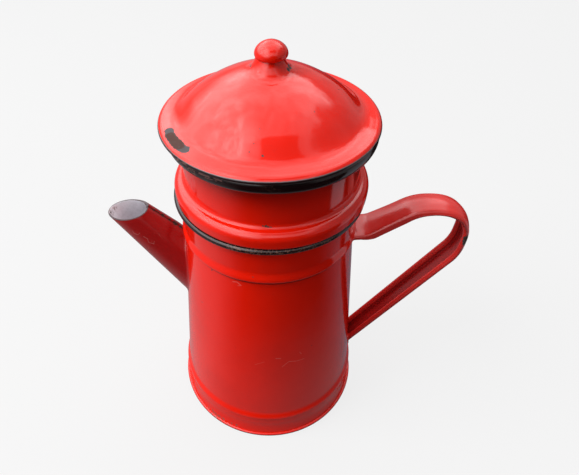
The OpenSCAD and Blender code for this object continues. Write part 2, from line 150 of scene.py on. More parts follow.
def enamel(name, chips=(), scuffs=(), worn=0.0, rubbed=(), speckled=0.0, glaze=ENAMEL_RED, edge=None,
        mottled=0.0, rag=0.9, dull=0.0, painted_shade_lines=(), stains=(), scratches=(), painted_shade_band=None):
    """Fired enamel over steel: thick gloss with a slight ripple, and chips down to rusty metal.

    chips, stains and scratches are (place, reach) in millimetres; edge darkens the glaze under a
    height; painted_shade_lines are (height, half width, share) of painted shade, dark lines where
    shade falls under a bead; painted_shade_band is (low, high, share) of painted shade that darkens
    the glaze towards the higher height; worn is the share of a rim rubbed to brown; speckled is how
    many pin holes show; mottled is for the inside.
    """
    finish, tree, place = new_finish(name)
    height = join(tree, "SeparateXYZ", {0: place}, out="Z")
    # the glaze is a little thicker and darker in broad clouds, and a trace of dirt lies in it
    broad = cloud(tree, place, 38, detail=2.0)
    fine = cloud(tree, place, 1.6, detail=4.0, seed=2.0)
    deep = tuple(0.72 * c for c in glaze)
    colour = tint(tree, times(tree, ramp(tree, broad, 0.42, 0.72), 0.28), glaze, deep)
    dirt = times(tree, ramp(tree, fine, 0.56, 0.80), 0.16)
    colour = tint(tree, dirt, colour, tuple(0.35 * c + 0.004 for c in glaze))
    bare = 0.0
    # painted shade: the glaze darkens towards the upper height, for the shade that falls under an overhang
    if painted_shade_band:
        low, high, share = painted_shade_band
        colour = tint(tree, times(tree, ramp(tree, height, low * MM, high * MM), share), colour,
            tuple(0.3 * c for c in glaze))
    if mottled:
        grain = cloud(tree, place, 2.4, detail=5.0, rough=0.7, seed=5.0)
        colour = tint(tree, times(tree, ramp(tree, grain, 0.40, 0.66), mottled), colour,
            tuple(0.55 * c for c in glaze))
    if edge:
        low, high, under, *line = edge
        frayed = scaled(tree, cloud(tree, place, 1.5, detail=4.0, seed=7.0), 0.3 * MM, height)
        frayed = maths(tree, "SUBTRACT", frayed, 0.15 * MM)
        if line:
            fade = ramp(tree, frayed, (high + line[0]) * MM, high * MM)
            colour = tint(tree, fade, colour, (0.15, 0.125, 0.13))
        colour = tint(tree, ramp(tree, frayed, high * MM, low * MM), colour, under)
    if worn:
        patch = times(tree, ramp(tree, cloud(tree, place, 14, detail=1.0, seed=11.0), 0.36, 0.66), 0.35)
        if rubbed:
            wear = ramp(tree, spots(tree, place, rubbed, rag=2.0)[0], 0.0, 0.35)
            patch = maths(tree, "MAXIMUM", wear, patch)
        scrape = cloud(tree, place, 0.9, detail=5.0, rough=0.75, seed=12.0)
        brown = times(tree, patch, ramp(tree, scrape, 0.62 - 0.16 * worn, 0.70 - 0.10 * worn))
        colour = tint(tree, times(tree, brown, 0.85), colour, (0.125, 0.060, 0.042))
        bare = times(tree, brown, 0.7)
    if speckled:
        holes = join(tree, "TexVoronoi", {"Vector": place, "Scale": 190.0}, None)
        pick = join(tree, "SeparateColor", {0: holes["Color"]})
        chosen = ramp(tree, pick, 1 - 0.10 * speckled, 1.0 - 0.095 * speckled)
        pit = times(tree, chosen, ramp(tree, holes["Distance"], 0.095, 0.060))
        colour = tint(tree, times(tree, pit, 0.85), colour, (0.035, 0.010, 0.008))
    for marks, share in scuffs:
        zone = ramp(tree, spots(tree, place, marks, rag=3.0, seed=17.0)[0], 0.0, 0.5)
        sway = join(tree, "TexNoise", {"Vector": place, "Scale": 70.0, "Detail": 2.0}, out="Color")
        swayed = vectors(tree, "ADD", place, vectors(tree, "SCALE", sway, scale=0.016))
        hair = join(tree, "TexVoronoi", {"Vector": swayed, "Scale": 62.0},
            feature="DISTANCE_TO_EDGE", out="Distance")
        broken = ramp(tree, cloud(tree, place, 5, detail=2.0, seed=19.0), 0.50, 0.62)
        line = times(tree, times(tree, zone, broken), ramp(tree, hair, 0.016, 0.004))
        colour = tint(tree, times(tree, line, share), colour, (0.60, 0.17, 0.14))
    if stains:
        soft = ramp(tree, spots(tree, place, stains, rag=1.6, seed=41.0)[0], 0.0, 0.7)
        soft = times(tree, soft, ramp(tree, cloud(tree, place, 1.1, detail=4.0, seed=43.0), 0.36, 0.60))
        colour = tint(tree, times(tree, soft, 0.85), colour, (0.115, 0.062, 0.050))
    if scratches:
        drawn = ramp(tree, spots(tree, place, scratches, rag=0.3, seed=47.0)[0], 0.0, 0.7)
        colour = tint(tree, times(tree, drawn, 0.20), colour, (0.66, 0.30, 0.27))
    gloss = scaled(tree, ramp(tree, fine, 0.45, 0.75), 0.07, 0.085 + 0.10 * mottled + dull)
    # painted shade: dark lines in the glaze at given heights, for the shade under the beads; they also dull
    # the gloss there
    for middle, half, share in painted_shade_lines:
        away = maths(tree, "ABSOLUTE", maths(tree, "SUBTRACT", height, middle * MM))
        near = ramp(tree, away, half * MM, 0.25 * half * MM)
        colour = tint(tree, times(tree, near, share), colour, tuple(0.10 * c + 0.002 for c in glaze))
        gloss = scaled(tree, near, 0.15 * share, gloss)
    ripple = maths(tree, "ADD", cloud(tree, place, 11, detail=1.0, seed=23.0),
        times(tree, cloud(tree, place, 1.2, detail=2.0, seed=24.0), 0.035 + 0.1 * mottled))
    if chips:
        depth, rusty = spots(tree, place, chips, rag=rag, seed=31.0)
        lost = ramp(tree, depth, 0.06, 0.12)
        rim = maths(tree, "SUBTRACT", ramp(tree, depth, 0.0, 0.06), lost, clamp=True)
        flecks = ramp(tree, cloud(tree, place, 1.6, detail=5.0, rough=0.7, seed=33.0), 0.22, 0.50)
        metal = tint(tree, times(tree, ramp(tree, rusty, 0.0, 0.25), flecks), STEEL_GREY, RUST)
        metal = tint(tree, times(tree, cloud(tree, place, 0.7, detail=3.0, seed=34.0), 0.5), metal,
            (0.30, 0.26, 0.24), blend="OVERLAY")
        # painted shade: a dark ring round each chip, at its broken edge
        colour = tint(tree, times(tree, rim, 0.75), colour, (0.10, 0.008, 0.006))
        colour = tint(tree, lost, colour, metal)
        gloss = scaled(tree, lost, 0.55, gloss)
        ripple = scaled(tree, lost, -0.9, ripple)
        bare = maths(tree, "MAXIMUM", lost, bare) if worn else lost
    if worn or chips:
        gloss = scaled(tree, bare, 0.2, gloss)
    bump = join(tree, "Bump", {"Height": ripple, "Distance": 0.0005, "Strength": 0.35})
    shine = join(tree, "BsdfPrincipled", {"Base Color": colour, "Roughness": gloss, "Normal": bump,
        "IOR": 1.5})
    join(tree, "OutputMaterial", {"Surface": shine})
    return finish


def new_group(name, inputs):
    """A bare Geometry Nodes tree that gives back a sheet, and its inputs."""
    tree = bpy.data.node_groups.new(name, "GeometryNodeTree")
    for label, kind in inputs.items():
        tree.interface.new_socket(label, in_out="INPUT", socket_type="NodeSocket" + kind)
    tree.interface.new_socket("Sheet", in_out="OUTPUT", socket_type="NodeSocketGeometry")
    return tree, join(tree, "NodeGroupInput", out=None)


def spinning_wheel():
    """Turns a row of profile points, x out and z up, once round an upright axis."""
    tree, given = new_group("spun_sheet", {"Profile": "Geometry", "Steps round": "Int", "Axis": "Vector",
        "Finish": "Material"})
    points = join(tree, "GeometryNodeAttributeDomainSize", {0: given["Profile"]}, component="MESH")
    around = join(tree, "FunctionNodeIntegerMath", {0: given["Steps round"], 1: 1}, operation="ADD")
    net = join(tree, "GeometryNodeMeshGrid", {"Vertices X": points, "Vertices Y": around}, out="Mesh")
    index = join(tree, "GeometryNodeInputIndex")
    along = join(tree, "FunctionNodeIntegerMath", {0: index, 1: around}, operation="DIVIDE_FLOOR")
    turned = join(tree, "FunctionNodeIntegerMath", {0: index, 1: around}, operation="MODULO")
    angle = maths(tree, "DIVIDE", times(tree, turned, 2 * pi), given["Steps round"])
    point = join(tree, "GeometryNodeSampleIndex", {"Geometry": given["Profile"],
        "Value": join(tree, "GeometryNodeInputPosition"), "Index": along},
        data_type="FLOAT_VECTOR")
    swung = join(tree, "VectorRotate", {"Vector": point, "Angle": angle},
        rotation_type="Z_AXIS")
    placed = vectors(tree, "ADD", swung, given["Axis"])
    sheet = join(tree, "GeometryNodeSetPosition", {"Geometry": net, "Position": placed})
    closed = join(tree, "GeometryNodeMergeByDistance", {"Geometry": sheet, "Distance": 1e-6})
    smooth = join(tree, "GeometryNodeSetShadeSmooth", {"Geometry": closed})
    real = join(tree, "GeometryNodeRealizeInstances", {"Geometry": smooth})
    coated = join(tree, "GeometryNodeSetMaterial", {"Geometry": real, "Material": given["Finish"]})
    join(tree, "NodeGroupOutput", {"Sheet": coated})
    return tree


WHEEL = spinning_wheel()


def run_group(piece, group, sizes):
    """Runs a tree on a piece and keeps what it makes as the piece's mesh, without empty material slots."""
    step = piece.modifiers.new(group.name, "NODES")
    step.node_group = group
    for item in group.interface.items_tree:
        if item.name in sizes:
            step[item.identifier] = sizes[item.name]
    view = bpy.context.evaluated_depsgraph_get()
    made = bpy.data.meshes.new_from_object(piece.evaluated_get(view), depsgraph=view)
    used = list(made.materials)
    finishes = [finish for finish in dict.fromkeys(used) if finish]
    picked = [finishes.index(used[face.material_index]) if used[face.material_index] else 0
        for face in made.polygons]
    made.materials.clear()
    for finish in finishes:
        made.materials.append(finish)
    made.polygons.foreach_set("material_index", picked)
    piece.modifiers.clear()
    piece.data = made


def face_outwards(piece):
    shape = bmesh.new()
    shape.from_mesh(piece.data)
    bmesh.ops.recalc_face_normals(shape, faces=shape.faces)
    shape.to_mesh(piece.data)
    shape.free()
    return piece


def set_out(name, data):
    """A new object in the scene."""
    made = bpy.data.objects.new(name, data)
    bpy.context.scene.collection.objects.link(made)
    return made


def spun(name, profile, finish, centre=(0.0, 0.0), steps=256, lining=None):
    """A closed sheet spun from its profile in millimetres; a lining covers the faces that look inwards."""
    chain = bpy.data.meshes.new(name)
    chain.from_pydata([(r * MM, 0, z * MM) for r, z in profile], [], [])
    piece = set_out(name, chain)
    axis = (centre[0] * MM, centre[1] * MM, 0.0)
    run_group(piece, WHEEL, {"Steps round": steps, "Axis": axis, "Finish": finish})
    face_outwards(piece)
    if lining:
        piece.data.materials.append(lining)
        for face in piece.data.polygons:
            out = Vector((face.center.x - axis[0], face.center.y - axis[1], 0))
            face.material_index = int(face.normal.dot(out.normalized()) < -0.2)
    return piece


def arc(middle, radius, start, end, count):
    """Points along an arc, by bearings in degrees from outwards through up."""
    turns = [radians(start + (end - start) * i / count) for i in range(count + 1)]
    return [(middle[0] + radius * cos(t), middle[1] + radius * sin(t)) for t in turns]


def spaced(low, high, count):
    return [low + (high - low) * i / count for i in range(count + 1)]


pot_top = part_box("pot_rim")[1].z / MM
foot_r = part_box("foot_hem")[1].y / MM
SHEET = 1.2
NECK_R = 48.5
TAPER_IN, FLARE_H, FLARE_OUT = 3.3, 13.5, 2.65
BEAD_W, BEAD_OUT, BEAD_CREST = 8.0, 1.5, 0.26
NECK_BAND, FOOT_BAND = 18.6, 6.0
taper_r = foot_r - TAPER_IN
neck_bead = pot_top - NECK_BAND - BEAD_W / 2
foot_bead = FLARE_H + FOOT_BAND + BEAD_W / 2
neck_low, neck_high = neck_bead - BEAD_W / 2, neck_bead + BEAD_W / 2
foot_low, foot_high = foot_bead - BEAD_W / 2, foot_bead + BEAD_W / 2


def bead_out(up):
    """How far a bead stands out: the roller leaves a steep lower side and a long hollow upper one."""
    if up < BEAD_CREST:
        return BEAD_OUT * sin(pi / 2 * up / BEAD_CREST) ** 1.3
    return BEAD_OUT * (0.5 + 0.5 * cos(pi * (up - BEAD_CREST) / (1 - BEAD_CREST))) ** 1.25


def wall_r(z):
    """The pot's outer radius at a height, in millimetres."""
    share = (min(max(z, FLARE_H), neck_low) - FLARE_H) / (neck_low - FLARE_H)
    radius = taper_r + (NECK_R - taper_r) * share
    if z < FLARE_H:
        radius += FLARE_OUT * ((FLARE_H - z) / FLARE_H) ** 2
    for middle in (neck_bead, foot_bead):
        up = (z - middle) / BEAD_W + 0.5
        if 0 < up < 1:
            radius += bead_out(up)
    return radius


wall_heights = (spaced(2.0, FLARE_H, 14) + spaced(FLARE_H + 1, foot_low - 0.3, 4)
    + spaced(foot_low, foot_high, 32) + spaced(foot_high + 1, neck_low - 0.3, 40)
    + spaced(neck_low, neck_high, 32) + spaced(neck_high + 0.5, pot_top - 2.2, 10))
outside = [(wall_r(z), z) for z in wall_heights]
inside = [(wall_r(z) - SHEET, z) for z in reversed(wall_heights)]
wall_scratches = stroke([(4.7, -54.2, 86.8), (7.4, -53.9, 86.3)], [0.5])
wall_scratches += stroke([(8.5, -54.6, 77.8), (12.7, -53.3, 82.2), (17.4, -52.1, 80.9), (22.1, -50.3, 80.9)],
    [0.34, 0.42, 0.36])
wall_scratches += stroke([(18.9, -50.8, 88.9), (20.6, -50.2, 85.5)], [0.28])
wall_scratches += stroke([(-8.1, -54.4, 80.1), (-2.5, -54.6, 83.4)], [0.24])
wall_scratches += stroke([(-19.0, -44.9, 146.3), (-16.6, -45.9, 146.9), (-14.5, -46.7, 145.2),
    (-16.4, -46.3, 144.5)], [0.4, 0.5, 0.35])
red_wall = enamel("red_enamel_wall", speckled=0.35, scratches=wall_scratches,
    # painted shade: dark lines just under the neck bead and the foot bead, where shade falls
    painted_shade_lines=[(neck_low + 0.3, 1.6, 0.85), (foot_low + 0.4, 1.5, 0.50)],
    chips=[((-30.3, -38.0, 147.6), 0.55), ((-8.8, -48.2, 155.4), 0.35),
           ((-8.0, -48.6, 153.9), 0.4), ((-39.3, -33.6, 114.8), 0.45)],
    stains=[((-40.5, -47.7, 4.2), 2.0), ((-38.8, -49.6, 3.6), 2.0), ((-35.8, -51.6, 3.4), 2.4),
            ((-32.5, -53.6, 3.4), 2.2), ((-26.3, -57.0, 3.3), 1.6), ((-22.5, -58.4, 4.1), 1.4),
            ((-43.8, -45.1, 3.4), 1.7)])
grey_lining = enamel("grey_enamel_lining", glaze=ENAMEL_GREY, mottled=0.7, speckled=1.0)
wall = spun("enamelled_wall", outside + inside + outside[:1], red_wall, lining=grey_lining)

SPOUT_DROP = 56.9
spout_root_z = pot_top - SPOUT_DROP
HOLE_D, HOLE_PITCH = 4.0, 7.0


def punch_tree():
    """Rods on a staggered grid, as far as an oval patch reaches, which punch a sheet."""
    tree, given = new_group("punched_patch", {"Sheet": "Geometry", "Pitch": "Float", "Hole radius": "Float",
        "Half width": "Float", "Half height": "Float",
        "Middle": "Vector", "Finish": "Material"})
    net = join(tree, "GeometryNodeMeshGrid", {"Size X": 12.0, "Size Y": 12.0, "Vertices X": 13,
        "Vertices Y": 13}, out="Mesh")
    position = join(tree, "GeometryNodeInputPosition")
    place = join(tree, "SeparateXYZ", {0: position}, out=None)
    odd = times(tree, maths(tree, "ABSOLUTE", maths(tree, "MODULO", place["Y"], 2.0)), 0.5)
    across = times(tree, maths(tree, "ADD", place["X"], odd), given["Pitch"])
    up = times(tree, times(tree, place["Y"], sin(radians(60))), given["Pitch"])
    spread = join(tree, "GeometryNodeSetPosition", {"Geometry": net, "Position": join(
        tree, "CombineXYZ", {1: across, 2: up})})
    points = join(tree, "GeometryNodeMeshToPoints", {"Mesh": spread})
    wide = maths(tree, "POWER", maths(tree, "DIVIDE", place["Y"], given["Half width"]), 2.0)
    tall = maths(tree, "POWER", maths(tree, "DIVIDE", place["Z"], given["Half height"]), 2.0)
    beyond = join(tree, "FunctionNodeCompare", {0: maths(tree, "ADD", wide, tall), 1: 1.0},
        operation="GREATER_THAN")
    kept = join(tree, "GeometryNodeDeleteGeometry", {"Geometry": points, "Selection": beyond},
        domain="POINT")
    rod = join(tree, "GeometryNodeMeshCylinder", {"Vertices": 20, "Radius": given["Hole radius"],
        "Depth": 0.03}, out="Mesh")
    rods = join(tree, "GeometryNodeInstanceOnPoints", {"Points": kept, "Instance": rod,
        "Rotation": (0.0, pi / 2, 0.0)})
    moved = join(tree, "GeometryNodeTranslateInstances", {"Instances": rods,
        "Translation": given["Middle"]})
    punches = join(tree, "GeometryNodeRealizeInstances", {"Geometry": moved})
    finished = join(tree, "GeometryNodeSetMaterial", {"Geometry": punches,
        "Material": given["Finish"]})
    punched = join(tree, "GeometryNodeMeshBoolean", {"Mesh 1": given["Sheet"], "Mesh 2": finished},
        operation="DIFFERENCE", solver="MANIFOLD")
    join(tree, "NodeGroupOutput", {"Sheet": punched})
    return tree


run_group(wall, punch_tree(), {
    "Pitch": HOLE_PITCH * MM, "Hole radius": HOLE_D / 2 * MM, "Half width": 9.9 * MM,
    "Half height": 15.7 * MM, "Middle": (-50.5 * MM, 0.0, spout_root_z * MM), "Finish": grey_lining})
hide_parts("pot_shell")
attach(wall, "pot")

# ---- Foot hem and pot floor -----------------------------------------------------------------
# The flared foot is rolled round a wire, red over its top and black where it stands. The floor
# is a dished disc of sheet crimped in behind the hem, black enamel underneath.
FOOT_ROLL = 1.3
hem_profile = arc((foot_r - FOOT_ROLL, FOOT_ROLL), FOOT_ROLL, -90, 150, 20)
hem_profile += [(foot_r - 2.75, 2.2), (foot_r - 2.75, 0.0), (foot_r - 2.0, 0.0)]
hem_red = enamel("red_enamel_foot", edge=(1.55, 2.05, (0.030, 0.004, 0.006)),
    stains=[((-41.5, -48.6, 2.2), 1.6), ((-38.3, -51.2, 2.2), 1.8), ((-34.5, -53.8, 2.2), 1.6),
            ((-29.0, -57.0, 2.2), 1.1), ((-45.0, -45.6, 2.2), 1.2)],
    chips=[((2.0, -64.5, 0.8), 0.7), ((30, -57, 0.9), 0.6)])
hem = spun("foot_roll", hem_profile + hem_profile[:1], hem_red)
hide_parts("foot_hem")
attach(hem, "pot")
black_base = enamel("black_enamel_base", glaze=(0.014, 0.011, 0.012), speckled=1.0, worn=0.6)


def dress(node, finish):
    """Gives a carried-over node its finish."""
    skin = bpy.data.objects[node].data.materials
    skin.clear()
    skin.append(finish)


dress("pot_floor", black_base)

# ---- Pot rim --------------------------------------------------------------------------------
# The mouth of the pot is rolled outwards and dipped in black enamel, which is rubbed brown
# where the vessel's bead sits on it.
RIM_ROLL = 1.7
rim_middle = (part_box("pot_rim")[1].x / MM - RIM_ROLL, pot_top - RIM_ROLL)
rim_black = enamel("black_enamel_rim", glaze=ENAMEL_BLACK, worn=0.9,
    rubbed=[((-14, -49, 175), 8), ((-5, -51, 175), 9), ((6, -51, 175), 9),
            ((17, -48, 175), 9), ((26, -44, 175), 7)])
rim = spun("rolled_rim", arc(rim_middle, RIM_ROLL, 0, 360, 28), rim_black)
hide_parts("pot_rim")
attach(rim, "pot")

# ---- Spout ----------------------------------------------------------------------------------
# A tapered tube bent up from sheet and lapped along its top, welded over the punched patch. Its
# glaze is thinner and browner than the wall's, and grey inside; the lap has gone rusty.
TIP_R, ROOT_R = 9.3, 15.1
TIP_OUT, TIP_DROP = 33.9, 18.4
TIP = Vector((-(NECK_R + TIP_OUT), 0, pot_top - TIP_DROP))
ROOT = Vector((-wall_r(spout_root_z), 0, spout_root_z))
CUT_FALL = tan(radians(4))
SPOUT_SHEET, LAP, LAP_EASE, WELD, LAP_TURN = 1.0, 0.85, 55.0, 2.4, 13.0
run = (TIP - ROOT).length
along = (TIP - ROOT) / run
above = Vector((along.z, 0, -along.x))
aside = Vector((0, 1, 0))


def on_spout(turn, far, grow=0.0):
    """A point on the cone, by its bearing from the top and its distance up the axis."""
    bearing = above * cos(turn) + aside * sin(turn)
    return ROOT + along * far + bearing * (ROOT_R + (TIP_R - ROOT_R) * far / run + grow)


def mouth_at(turn):
    """How far up the axis the cut of the mouth meets a line of the cone."""
    low, high = (point.z - TIP.z - CUT_FALL * (point.x - TIP.x)
        for point in (on_spout(turn, 0), on_spout(turn, run)))
    return run * low / (low - high)


def reaches_wall(path, low, high, sunk=0.0):
    """Where a path through the pot's wall crosses its outside, less what it is sunk."""
    for _ in range(30):
        middle = (low + high) / 2
        point = path(middle)
        if hypot(point.x, point.y) < wall_r(point.z) - sunk:
            low = middle
        else:
            high = middle
    return low


def on_wall(point, sunk):
    """The nearest point of the pot's wall at the same height."""
    out = Vector((point.x, point.y, 0)).normalized() * (wall_r(point.z) - sunk)
    return Vector((out.x, out.y, point.z))


# the sheet's inner edge dips away under the lap
UNDER_LAP = {356.6: 0.0, 358.0: -0.12, 359.0: -0.35, 359.5: -0.55}
WELD_STEPS, TUBE_STEPS, LIP_STEPS, BORE_STEPS = 7, 16, 6, 8
spout_turns = [0.0, 0.5, 1.5, 3, 5] + [5 + 350 * i / 118 for i in range(1, 119)] + list(UNDER_LAP)
spout_ring = []
for from_lap in spout_turns:
    turn = radians(from_lap + LAP_TURN)
    bearing = above * cos(turn) + aside * sin(turn)
    lift = LAP * max(0.0, cos(radians(min(from_lap / LAP_EASE, 1) * 90))) ** 1.5
    lift = UNDER_LAP.get(from_lap, lift)
    root = reaches_wall(lambda far: on_spout(turn, far), -25, 30)
    foot = on_spout(turn, root)
    beside = on_spout(turn + 0.01, reaches_wall(lambda far: on_spout(turn + 0.01, far), -25, 30))
    outward = Vector((foot.x, foot.y, 0)).normalized()
    away = outward.cross(beside - foot).normalized()
    if away.dot(bearing) < 0:
        away = -away
    toe = on_wall(foot + away * WELD, 0.05)
    start = on_spout(turn, root + WELD)
    row = []
    for i in range(WELD_STEPS):
        t = i / WELD_STEPS
        weld = toe * (1 - t) ** 2 + foot * 2 * t * (1 - t) + start * t * t
        row.append(weld + bearing * lift * 0.25 * i / WELD_STEPS)
    end = mouth_at(turn) - SPOUT_SHEET / 2
    row += [on_spout(turn, root + WELD + (end - root - WELD) * i / TUBE_STEPS, lift * min(1, 0.25 + i / 5))
        for i in range(TUBE_STEPS + 1)]
    middle = on_spout(turn, end, lift - SPOUT_SHEET / 2 - max(0, lift) * 0.5)
    half = (SPOUT_SHEET + max(0, lift)) / 2
    for i in range(1, LIP_STEPS):
        t = radians(180 * i / LIP_STEPS)
        row.append(middle + bearing * half * cos(t) + along * SPOUT_SHEET / 2 * sin(t))
    inner_root = reaches_wall(lambda far: on_spout(turn, far, -SPOUT_SHEET), -25, 30, 0.4)
    row += [on_spout(turn, end + (inner_root - end) * i / BORE_STEPS, -SPOUT_SHEET)
        for i in range(BORE_STEPS + 1)]
    spout_ring.append(row)


def woven(name, rows, finishes, lined, ring=True):
    """Joins closed rows of points into a ring, or into a tube capped at both ends.

    lined picks the finish by place along a row.
    """
    count, size = len(rows), len(rows[0])
    bands = count if ring else count - 1
    faces = [(i * size + j, i * size + (j + 1) % size, (i + 1) % count * size + (j + 1) % size,
        (i + 1) % count * size + j) for i in range(bands) for j in range(size)]
    for start in () if ring else (0, bands * size):
        faces += [(start + j, start + (j + 1) % size, start + (size - j - 1) % size,
            start + (size - j) % size) for j in range(1, size // 2)]
    mesh = bpy.data.meshes.new(name)
    mesh.from_pydata([tuple(p * MM) for row in rows for p in row], [], faces)
    for finish in finishes:
        mesh.materials.append(finish)
    for number, face in enumerate(mesh.polygons):
        face.use_smooth = True
        face.material_index = int(number < bands * size and lined(number % size))
    return face_outwards(set_out(name, mesh))


lap_line = [tuple(on_spout(radians(LAP_TURN - 1.6), far)) for far in (8, 14, 19, 23, 27, 32, 38, 45)]
spout_scratches = stroke([(-78.2, -10.2, 149.9), (-77.7, -10.3, 148.0), (-75.4, -10.7, 147.5),
    (-74.2, -10.6, 148.7)], [0.32, 0.36, 0.3])
spout_scratches += stroke([(-72.3, -11.0, 146.2), (-70.3, -11.2, 144.8), (-70.0, -11.6, 142.1),
    (-67.1, -11.8, 141.2), (-66.6, -11.3, 142.9)], [0.32, 0.3, 0.32, 0.28])
spout_red = enamel("red_enamel_spout", glaze=(0.275, 0.0055, 0.0055), speckled=0.8, dull=0.12,
    chips=[((lap_line[0], lap_line[-1]), 0.38)]
    + list(zip(lap_line, (0.9, 1.5, 1.2, 1.7, 1.0, 1.2, 0.8, 0.8)))
    + [((-84.0, -9.6, 157.6), 0.6), ((-76.0, 8.0, 158.0), 0.7)], scratches=spout_scratches,
    scuffs=[([((-75, -10.5, 148), 6), ((-66, -11, 143), 6), ((-71, -11, 135), 5)], 0.3)])
spout_grey = enamel("grey_enamel_spout", glaze=(0.72, 0.71, 0.76), mottled=0.30, speckled=0.8,
    chips=[((-91.8, -1.6, 155.6), 1.1), ((-90.9, 3.4, 154.6), 0.8)],
    stains=[((-92.2, -1.0, 155.2), 3.6), ((-91.4, 4.0, 154.4), 3.2),
            ((-91.2, -4.6, 156.0), 3.0), ((-84.6, -7.0, 152.0), 1.6)])
spout_lip = enamel("worn_enamel_lip", glaze=(0.050, 0.032, 0.036), mottled=0.6, dull=0.30,
    stains=[((-91.6, 0.0, 156.4), 4.0)])
LIP_FROM = WELD_STEPS + TUBE_STEPS
LIP_TO = LIP_FROM + LIP_STEPS - 1
spout = woven("lapped_spout", spout_ring, [spout_red, spout_grey, spout_lip],
    lambda along_row: 0 if along_row < LIP_FROM else 2 if along_row < LIP_TO else 1)
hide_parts("spout")
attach(spout, "pot")

# ---- Handle ---------------------------------------------------------------------------------
# One strip pressed to a channel, its edges turned inwards, bent round and welded to the wall at
# both ends. At the top it opens out to a flat foot; the darker red in its hollow is painted shade.
HALF_W, STRAP, FOOT_HALF, HEM = 9.0, 1.5, 10.9, 2.0
BEND_OUT, BEND_DROP = 41.2, 37.2
BEND_R, BEND_AT = 26.97, Vector((NECK_R + BEND_OUT, 0, pot_top - BEND_DROP))
LOW_Z = 37.0
START_TURN, ARM_SLOPE, ARM_LEN, DIP_R, FOOT_SLOPE = -31.6, 35.0, 20.0, 10.0, 4.0
LOW_SPREAD, CREST_SPREAD, BEND_EASE = 1.1, 1.7, 0.06
CROWN_STEPS, SHOULDER_STEPS, HEM_STEPS = 6, 8, 10


def channel(flat, deep=0.0):
    """The strip's closed section, across and out: a channel with rolled edges, or flat at its foot."""
    def between(low, high):
        return low + (high - low) * flat

    hem_at = (between(HALF_W, FOOT_HALF) - HEM, between(-3.0, -1.9) - deep)
    flank, shoulder = between(5.8, 9.0), between(3.2, HEM)
    crown = between(-1.0, 0.1)
    half = [(flank * i / CROWN_STEPS, crown * (i / CROWN_STEPS) ** 2 - between(0, 0.7))
        for i in range(CROWN_STEPS)]
    half += arc((flank, crown - shoulder - between(0.05, 0.6)), shoulder, 80, 4, SHOULDER_STEPS)
    half += arc(hem_at, HEM, 0, -180, HEM_STEPS)
    floor = -STRAP - between(0, 0.6)
    half += arc((hem_at[0] - HEM - 1.0, floor - 1.0), 1.0, 10, 90, 4)
    half += [(half[-1][0] * (1 - i / 3), floor) for i in (1, 2, 3)]
    return half + [(-y, n) for y, n in reversed(half)][1:-1]


bend_start = radians(START_TURN)


def bend_r(turn):
    """The bend's radius by bearing: a little wider low down, and past the crest."""
    low = max(0.0, min(1.0, turn / bend_start))
    return BEND_R - BEND_EASE + LOW_SPREAD * low ** 1.3 + CREST_SPREAD * max(0.0, sin(2 * turn)) ** 1.5


def swing_at(turn):
    """Outwards at a bearing, and a quarter turn on from that."""
    return Vector((cos(turn), 0, sin(turn))), Vector((-sin(turn), 0, cos(turn)))


# the route's steps are (place, heading, how flat, how deep the hems hang)
out, arm_dir = swing_at(bend_start)
low_end = BEND_AT + out * bend_r(bend_start)
low_reach = (low_end.z - LOW_Z) / arm_dir.z
route = [(low_end - arm_dir * low_reach * (1 - i / 40), arm_dir, 0.0, 0.3) for i in range(41)]
for i in range(1, 57):
    t = radians(START_TURN + (90 + ARM_SLOPE - START_TURN) * i / 56)
    past = max(0.0, (t - radians(60)) / radians(30 + ARM_SLOPE))
    out, ahead = swing_at(t)
    route.append((BEND_AT + out * bend_r(t), ahead, 0.0, 0.3 - 0.7 * sin(pi * i / 56) + 1.5 * past ** 1.5))
place, heading = route[-1][:2]
for i in range(1, 11):
    route.append((place + heading * ARM_LEN * i / 10, heading, 0.42 * (i / 10) ** 1.6, 1.8 + 0.3 * i / 10))
dip_at = route[-1][0] + Vector((-heading.z, 0, heading.x)) * -DIP_R
for i in range(1, 13):
    out, ahead = swing_at(radians(270 + ARM_SLOPE - (ARM_SLOPE - FOOT_SLOPE) * i / 12))
    route.append((dip_at + out * DIP_R, ahead * -1, 0.42 + 0.43 * i / 12, 2.1 * (1 - i / 12)))
place, heading = route[-1][:2]
foot_run = -reaches_wall(lambda far: place - heading * far, -20, 20)
for i in range(1, 13):
    route.append((place + heading * foot_run * i / 12, heading, 0.85 + 0.15 * i / 12, 0.0))

WELD_R, SUNK = 1.6, 0.25
WELD_GAPS = (0.0, 0.25, 0.7, 1.3, 2.0)
handle_rows = []
for number, (place, heading, flat, deep) in enumerate(route):
    outwards = Vector((heading.z, 0, -heading.x))
    section = channel(flat, deep)
    near = min(number, len(route) - 1 - number)
    welded = near < len(WELD_GAPS) or number == len(route) - 1
    inwards = heading * (1 if number < len(WELD_GAPS) else -1)
    row = []
    for (y, n), before, after in zip(section, section[-1:] + section[:-1], section[1:] + section[:1]):
        point = place + aside * y + outwards * n
        if welded:
            seat = reaches_wall(lambda far: point + inwards * far, -30, 30, 0.0 if near else SUNK)
            gap = WELD_GAPS[near]
            side = Vector((0, after[0] - before[0], after[1] - before[1])).normalized()
            grown = WELD_R * (1 - sqrt(1 - max(0.0, 1 - gap / WELD_R) ** 2)) if gap < WELD_R else 0.0
            point = point + inwards * seat + inwards * gap - (aside * side.z - outwards * side.y) * grown
        row.append(point)
    handle_rows.append(row)

grip_scuffs = [([((88, -4, 85), 8), ((96, -5, 98), 8), ((80, -3, 72), 6)], 0.35)]
handle_red = enamel("red_enamel_handle", glaze=(0.62, 0.027, 0.022), speckled=0.4, dull=0.13,
    chips=[(((113.9, -8.9, 144.2), (114.6, -8.9, 140.2)), 2.2, 0.4)], scuffs=grip_scuffs)
